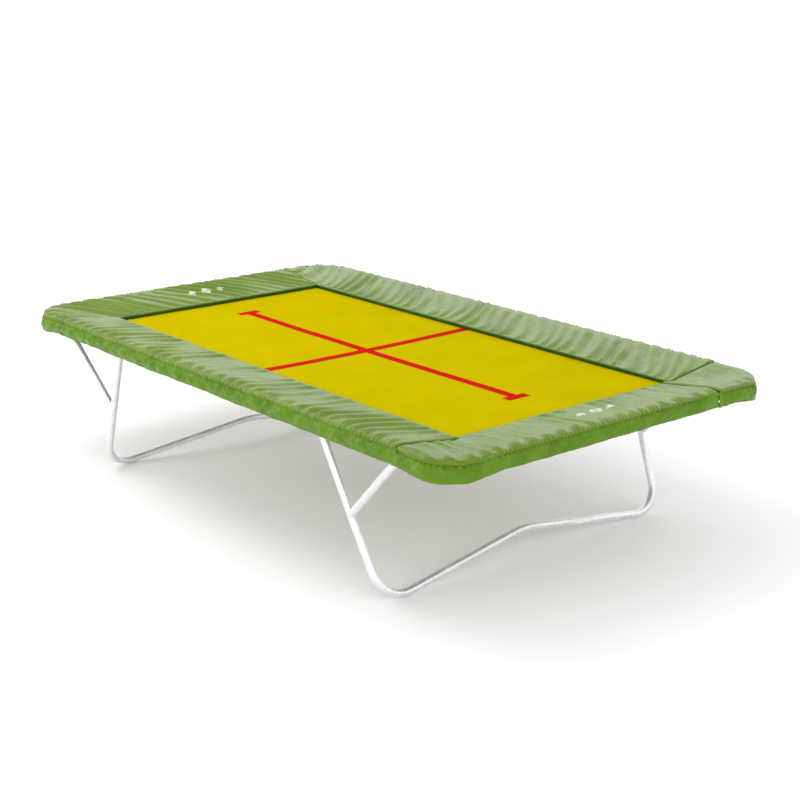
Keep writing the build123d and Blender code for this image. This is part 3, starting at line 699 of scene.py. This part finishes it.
def make_skirt(name):
    """The skirt sewn under a cover's rim: gathered at the top, crumpled and billowing, with a hem."""
    looks = PAD_LOOKS[name]
    seed = looks["seed"] + 5
    run, line, outward = outer_line(name)
    down = np.concatenate((np.linspace(0, 1, SKIRT_ROWS), [HEM_END]))
    s, t = np.meshgrid(run, down, indexing="ij")
    x, y = line[:, None, 0] + 0 * t, line[:, None, 1] + 0 * t
    corner, from_seam = cornering(x, y), np.minimum(s, run[-1] - s)
    start_z = RIM_Z - looks["sink"] - seam_drop(x, y) + SKIRT_ABOVE_SEAM
    end_z = SKIRT_LOW - CORNER_HANG * corner - HEM_WANDER * noise_field(s, t * 0.02, 0.30, seed + 6)
    out = skirt_relief(s, t, corner, from_seam, looks["seed"])
    points = np.stack([x, y, start_z + (end_z - start_z) * t], axis=2)
    points[:, :, 0] += outward[:, None, 0] * out
    points[:, :, 1] += outward[:, None, 1] * out
    rest = np.stack([s * SKIRT_GATHER, 0 * s, RIM_Z - SKIRT_WIDTH * t], axis=2)
    pins = (t == 0).astype(float)
    moved = settle(f"sim_skirt_{name}", points, rest, pins, frames=12, bending=3.0, gravity=0.6)
    points += np.clip(moved - points, -SKIRT_LIMIT, SKIRT_LIMIT)
    crumple = skirt_crumple(s, t, seed)
    free = smoothstep(from_seam / SEAM_FREE)
    lap_out = np.where(s < run[-1] / 2, START_LIFT, END_LIFT) * smoothstep(t * 3) * (1 - free)
    for axis, start in ((0, x), (1, y)):
        facing = outward[:, None, axis]
        moved_by = points[:, :, axis] - start + facing * crumple
        points[:, :, axis] = start + moved_by * free + facing * lap_out
    hem = down > 1.0
    inner = points.copy()
    thickness = WALL + HEM_WALL * smoothstep((t - HEM_SHARE) / HEM_FADE)
    inner[:, :, 0] -= outward[:, None, 0] * thickness
    inner[:, :, 1] -= outward[:, None, 1] * thickness
    points[:, hem, 2] = points[:, ~hem, 2][:, -1:] - HEM_FOLD
    inner[:, hem, 2] = points[:, hem, 2]
    skirt = shell_between(f"skirt_{name}", points, inner, materials["skirt"])
    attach(skirt, "frame")


def shell_between(name, outer, inner, material, lining=None):
    """A closed thin shell between two grids of the same size. The inner one can have its own lining."""
    rows, columns = outer.shape[:2]
    count = rows * columns
    vertices = list(outer.reshape(-1, 3)) + list(inner.reshape(-1, 3))
    faces = grid_faces(rows, columns) + grid_faces(rows, columns, start=count, flip=True)
    for i in range(rows - 1):
        for j in (0, columns - 1):
            a, b = i * columns + j, (i + 1) * columns + j
            faces.append((a, b, b + count, a + count))
    for j in range(columns - 1):
        for i in (0, rows - 1):
            a, b = i * columns + j, i * columns + j + 1
            faces.append((a, a + count, b + count, b))
    obj = mesh_object(name, vertices, faces, material)
    tidy_normals(obj)
    if lining:
        quads = (rows - 1) * (columns - 1)
        inside = [int(quads <= k < 2 * quads) for k in range(len(faces))]
        obj.data.materials.append(lining)
        obj.data.polygons.foreach_set("material_index", inside)
    return obj


for name in PADS:
    make_skirt(name)


def make_stud():
    """The white press stud on the overlap of the right and corner skirts: a domed cap."""
    radius, height, spokes, skirt_out = 0.006, 0.003, 24, 0.011
    stud_low, stud_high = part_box("skirt_stud")
    middle_y, middle_z = (stud_low.y + stud_high.y) / 2, (stud_low.z + stud_high.z) / 2
    start_x = OUT_X + skirt_out
    turns = [2 * math.pi * k / spokes for k in range(spokes)]
    profile = [(1.0, 0.0), (1.0, 0.35), (0.88, 0.65), (0.6, 0.9), (0.25, 1.0)]
    vertices = []
    for reach, up in profile:
        for a in turns:
            across, rise = radius * reach * math.cos(a), radius * reach * math.sin(a)
            vertices.append((start_x + height * up, middle_y + across, middle_z + rise))
    faces = grid_faces(len(profile), spokes, wrap=True)
    faces += [tuple(range(spokes - 1, -1, -1)), tuple(range((len(profile) - 1) * spokes, len(vertices)))]
    stud = mesh_object("stud", vertices, faces, materials["label_white"])
    tidy_normals(stud)
    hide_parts("skirt_stud")
    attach(stud, "frame")


make_stud()


# --- Bed --------------------------------------------------------------------------------------------
SAG, UNEVENNESS = 0.010, 0.0025


def bed_height(x, y):
    """The bed's resting surface: a slight sag, and a gentle unevenness from the pull of the springs."""
    sag = SAG * (1 - (x / BED_X) ** 2) * (1 - (y / BED_Y) ** 2)
    return BED_Z - sag + UNEVENNESS * noise_field(x, y, 0.55, 3, 2)


def stretches(obj):
    """Bakes obj's placement into its mesh and reads its points back, but moves none of them."""
    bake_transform(obj)
    points = np.zeros(len(obj.data.vertices) * 3)
    obj.data.vertices.foreach_get("co", points)


NARROW = 0.2  # the width up to which width_step is used


def cloth_strip(name, low, high, lift, thickness, material, step=0.02, width_step=None, lining=None):
    """A flat strip of cloth that follows the bed, between two plan corners, raised by lift.

    Its grid has width_step across a narrow strip, where that is given, and step otherwise.
    """
    stops = []
    for start, end in zip(low[:2], high[:2]):
        narrow = width_step is not None and end - start <= NARROW
        stops.append(even_stops(start, end, width_step if narrow else step))
    x, y = np.meshgrid(*stops, indexing="ij")
    z = bed_height(x, y)
    top = np.stack([x, y, z + lift + thickness], axis=2)
    under = np.stack([x, y, z + lift], axis=2)
    return shell_between(name, top, under, material, lining)


def make_bed():
    """The sheet, its hem and the red marking tapes, each a separate strip that follows the bed."""
    edge, sheet_thickness = 0.003, 0.0012
    sheet_x, sheet_y = BED_X - edge, BED_Y - edge
    sheet = cloth_strip(
        "sheet", (-sheet_x, -sheet_y), (sheet_x, sheet_y), -sheet_thickness / 2, sheet_thickness,
        materials["bed_weave"], step=0.03, lining=materials["bed_back"],
    )
    parts = []
    hem_width, hem_thickness = 0.05, 0.004
    long_x, long_y = BED_X - hem_width, BED_Y - hem_width
    hem_boxes = {
        "hem_front": ((-BED_X, -BED_Y), (BED_X, -long_y)),
        "hem_back": ((-BED_X, long_y), (BED_X, BED_Y)),
        "hem_left": ((-BED_X, -long_y), (-long_x, long_y)),
        "hem_right": ((long_x, -long_y), (BED_X, long_y)),
    }
    for name, (low, high) in hem_boxes.items():
        webbing, lift = materials["webbing"], -hem_thickness / 2
        hem = cloth_strip(name, low, high, lift, hem_thickness, webbing, width_step=0.0125)
        parts.append(hem)
    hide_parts("bed_hem")
    bar_left, bar_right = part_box("marking_bar_left"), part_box("marking_bar_right")
    long_low, long_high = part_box("marking_tape_long")
    cross_low, cross_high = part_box("marking_tape_cross")
    tape_lift, crossing_lift, tape_thickness = 0.0007, 0.0012, 0.0010
    tapes = {
        "tape_long": (long_low, long_high, "marking_tape_long"),
        "tape_cross": (cross_low, cross_high, "marking_tape_cross"),
        "tape_bar_left": (*bar_left, "marking_bar_left"),
        "tape_bar_right": (*bar_right, "marking_bar_right"),
    }
    for name, (low, high, node) in tapes.items():
        lift = tape_lift + crossing_lift if name == "tape_cross" else tape_lift
        red = materials["marking_tape"]
        tape = cloth_strip(name, low, high, lift, tape_thickness, red, width_step=0.01)
        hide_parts(node)
        parts.append(tape)
    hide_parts("bed_sheet")
    for piece in [sheet, *parts]:
        stretches(piece)


make_bed()


# --- Springs ----------------------------------------------------------------------------------------
def spring_stops(count):
    """Evenly pitched positions centred on zero."""
    return [(i - (count - 1) / 2) * SPRING_PITCH for i in range(count)]


def tube_along(points, radius, sides):
    """Vertices and faces of a round wire along a line of points, with closed ends."""
    points = np.asarray(points, float)
    tangents = np.gradient(points, axis=0)
    tangents /= np.linalg.norm(tangents, axis=1)[:, None]
    side = np.cross(tangents, (0.0, 1.0, 0.0))
    weak = np.linalg.norm(side, axis=1) < 0.2
    side[weak] = np.cross(tangents[weak], (0.0, 0.0, 1.0))
    side /= np.linalg.norm(side, axis=1)[:, None]
    other = np.cross(tangents, side)
    angles = np.arange(sides) * 2 * math.pi / sides
    cosines, sines = np.cos(angles)[None, :, None], np.sin(angles)[None, :, None]
    ring = cosines * side[:, None, :] + sines * other[:, None, :]
    vertices = (points[:, None, :] + radius * ring).reshape(-1, 3)
    faces = grid_faces(len(points), sides, wrap=True)
    last = (len(points) - 1) * sides
    faces += [tuple(range(sides))[::-1], tuple(range(last, last + sides))]
    return vertices, faces


def coil_surface(start, end, radius, wire, pitch, sides):
    """A close-wound coil as one threaded surface along X, tapering to a cone at both ends."""
    per_turn, cone, ridge_height = 3, 0.014, 0.45
    rows = max(2, round((end - start) / pitch * per_turn))
    vertices = []
    for i in range(rows + 1):
        x = start + (end - start) * i / rows
        taper = min(1.0, (x - start) / cone, (end - x) / cone)
        for j in range(sides):
            angle = 2 * math.pi * j / sides
            ridge = math.cos(2 * math.pi * ((x - start) / pitch) - angle)
            r = wire + (radius - wire) * taper + ridge_height * wire * ridge * min(1.0, taper * 3)
            vertices.append((x, r * math.cos(angle), r * math.sin(angle)))
    faces = grid_faces(rows + 1, sides, wrap=True)
    last = rows * sides
    faces += [tuple(range(sides))[::-1], tuple(range(last, last + sides))]
    return np.array(vertices), faces


def merged(parts):
    """Several (vertices, faces) as one."""
    vertices, faces, start = [], [], 0
    for some, their_faces in parts:
        vertices.append(np.asarray(some))
        faces += [tuple(k + start for k in face) for face in their_faces]
        start += len(some)
    return np.concatenate(vertices), faces


def spring_mesh(length, eye, wire, coil):
    """One spring along +X from the eye at the origin: hook, cone, coil, cone, hook."""
    shank, coil_pitch, sides = 0.016, 0.0042, 10
    turn = [math.radians(a) for a in range(0, 301, 25)]
    hook = [(eye + shank + 0.004, 0, 0), (eye + shank * 0.4, 0, 0)]
    hook += [(eye * math.cos(a), 0, eye * math.sin(a)) for a in turn]
    far = [(length - x, y, -z) for x, y, z in hook]
    return merged([
        tube_along(hook, wire, 6), tube_along(far, wire, 6),
        coil_surface(eye + shank, length - eye - shank, coil, wire, coil_pitch, sides),
    ])


def ring_mesh(reach):
    """One bed ring of bent wire, from the hem bar at the origin to the spring's bar at reach along +X."""
    half_width, half_nose, wire = 0.017, 0.008, 0.002
    line = [(0, 0, 0), (0, half_width * 0.8, 0), (0.001, half_width, 0), (reach - 0.001, half_nose, 0),
            (reach, half_nose * 0.7, 0), (reach, 0, 0)]
    mirrored = [(x, -y, z) for x, y, z in line[::-1]]
    return tube_along(line + mirrored[1:], wire, 6)


def loop_mesh(reach):
    """The webbing loop round a ring's hem bar, with two tails sewn to the hem."""
    width, wall, bore, tail_end = 0.024, 0.0016, 0.0028, 0.012
    angles = np.linspace(-0.75 * math.pi, 0.75 * math.pi, 15)
    middle = bore + wall / 2
    arc = [(middle * math.cos(a), middle * math.sin(a)) for a in angles]
    tail = reach + tail_end
    profile = [(-tail, -middle), (-reach, -middle)] + arc + [(-reach, middle), (-tail, middle)]
    line = np.array([[(x, y, z) for x, z in profile] for y in (-width / 2, width / 2)])
    shrink = np.array([1 - wall / middle, 1, 1 - wall / middle])
    inner = line * shrink
    count = line.shape[0] * line.shape[1]
    vertices = np.concatenate((line.reshape(-1, 3), inner.reshape(-1, 3)))
    columns = len(profile)
    faces = grid_faces(2, columns) + grid_faces(2, columns, start=count, flip=True)
    for row in (0, 1):
        for j in range(columns - 1):
            a = row * columns + j
            quad = (a, a + 1, a + 1 + count, a + count)
            faces.append(quad if row else quad[:1] + quad[:0:-1])
    for j in (0, columns - 1):
        faces.append((j, j + columns, j + columns + count, j + count))
    return vertices, faces


def place_round_bed(shape, side, along_side, along_end, turn):
    """Copies of a shape at each spring's place on one side of the bed, as one set of vertices and faces."""
    vertices, faces = shape
    spots = {
        "front": [((p, -along_side), 90) for p in spring_stops(SIDE_SPRINGS)],
        "back": [((p, along_side), -90) for p in spring_stops(SIDE_SPRINGS)],
        "left": [((-along_end, p), 0) for p in spring_stops(END_SPRINGS)],
        "right": [((along_end, p), 180) for p in spring_stops(END_SPRINGS)],
    }[side]
    copies = []
    for (x, y), facing in spots:
        angle = math.radians(facing + turn)
        c, s = math.cos(angle), math.sin(angle)
        along, across, up = vertices.T
        turned = [along * c - across * s + x, along * s + across * c + y, up + BED_Z]
        copies.append((np.stack(turned, axis=1), faces))
    return merged(copies)


def make_springs():
    """The springs, the bed's rings and their webbing loops, on all four sides."""
    eye, wire, coil = 0.0071, 0.0016, 0.0100
    ring_reach, ring_offset = 0.028, 0.005
    rod_play, ring_play = 0.0003, 0.0028
    rod_gap = eye - wire - ROD_R - rod_play
    length = ROD_Y - rod_gap - (BED_Y + ring_offset + ring_reach + ring_play)
    spring = spring_mesh(length, eye, wire, coil)
    rings, loops = [], []
    for side in ("front", "back", "left", "right"):
        vertices, faces = place_round_bed(spring, side, ROD_Y - rod_gap, ROD_X - rod_gap, 0)
        springs = mesh_object(f"coils_{side}", vertices, faces, materials["spring_steel"])
        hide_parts(f"springs_{side}")
        stretches(springs)
        hem_y, hem_x = BED_Y + ring_offset, BED_X + ring_offset
        rings.append(place_round_bed(ring_mesh(ring_reach), side, hem_y, hem_x, 180))
        loops.append(place_round_bed(loop_mesh(ring_offset), side, hem_y, hem_x, 180))
    for name, parts, node, finish in (
        ("hem_rings", rings, "bed_rings", "zinc_plate"), ("hem_loops", loops, "ring_loops", "webbing")
    ):
        piece = mesh_object(name, *merged(parts), materials[finish])
        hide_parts(node)
        stretches(piece)


make_springs()


# --- Stage ------------------------------------------------------------------------------------------
# Name, place, power in watts, and width of each light.
STUDIO_LIGHTS = (
    ("key", (-2.0, -2.5, 6.5), 140, 4.0),
    ("side", (-5.0, -5.0, 3.6), 50, 2.0),
    ("fill", (7.0, -6.0, 3.5), 110, 5.0),
)
AIM_Z = 0.9  # the lights point here, above the middle of the floor
# How strong the surroundings are by height, as two ramps that multiply: from, to, strength at each.
SKY_RAMPS = ((0.16, 0.38, 1.05, 1.85), (0.42, 0.64, 1.0, 0.52))


def make_stage():
    """A pale floor, a white surround, and soft light from above and the side."""
    s = Shader("floor")
    cloud = s.ramp(s.noise(1.2, 3), 0, 1, 0.3, 0.7)
    s.set(Base_Color=s.blend(cloud, rgb(0.90, 0.90, 0.90), rgb(0.92, 0.92, 0.92)))
    s.set(Roughness=0.7, Specular_IOR_Level=0.2)
    reach = 400
    corners = [(-reach, -reach, 0), (reach, -reach, 0), (reach, reach, 0), (-reach, reach, 0)]
    floor = mesh_object("floor", corners, [(0, 1, 2, 3)], s.material, smooth=False)
    world = bpy.data.worlds.new("studio")
    bpy.context.scene.world = world
    world.use_nodes = True
    nodes, links = world.node_tree.nodes, world.node_tree.links
    direction = nodes.new("ShaderNodeTexCoord").outputs["Generated"]
    split = nodes.new("ShaderNodeSeparateXYZ")
    links.new(direction, split.inputs["Vector"])
    level = nodes.new("ShaderNodeMath")
    level.operation = "MULTIPLY"
    for slot, limits in enumerate(SKY_RAMPS):
        part = nodes.new("ShaderNodeMapRange")
        links.new(split.outputs["Z"], part.inputs["Value"])
        for socket, value in zip(("From Min", "From Max", "To Min", "To Max"), limits):
            part.inputs[socket].default_value = value
        links.new(part.outputs["Result"], level.inputs[slot])
    nodes["Background"].inputs["Color"].default_value = rgb(1.0, 1.0, 1.0)
    links.new(level.outputs[0], nodes["Background"].inputs["Strength"])
    bpy.context.scene.view_settings.view_transform = "Standard"
    for name, place, power, width in STUDIO_LIGHTS:
        light = bpy.data.lights.new(name, "AREA")
        light.energy, light.size = power, width
        lamp = bpy.data.objects.new(name, light)
        bpy.context.collection.objects.link(lamp)
        lamp.location = place
        aim = Vector((0, 0, AIM_Z)) - Vector(place)
        lamp.rotation_euler = aim.to_track_quat("-Z", "Y").to_euler()


def make_camera():
    """The camera: a long lens at a corner, a little above the pads."""
    yaw, pitch, roll = -0.862, 0.290, 0.008
    place = Vector((7.862, -6.491, RIM_Z + 2.600))
    ahead = Vector((math.sin(yaw) * math.cos(pitch), math.cos(yaw) * math.cos(pitch), -math.sin(pitch)))
    level = Vector((math.cos(yaw), -math.sin(yaw), 0))
    upright = level.cross(ahead)
    right = level * math.cos(roll) + upright * math.sin(roll)
    top = upright * math.cos(roll) - level * math.sin(roll)
    data = bpy.data.cameras.new("camera")
    data.sensor_width, data.lens = 36, 68.52
    camera = bpy.data.objects.new("camera", data)
    bpy.context.collection.objects.link(camera)
    facing = Matrix((right, top, -ahead)).transposed()
    camera.matrix_world = Matrix.Translation(place) @ facing.to_4x4()
    bpy.context.scene.camera = camera


make_stage()
make_camera()
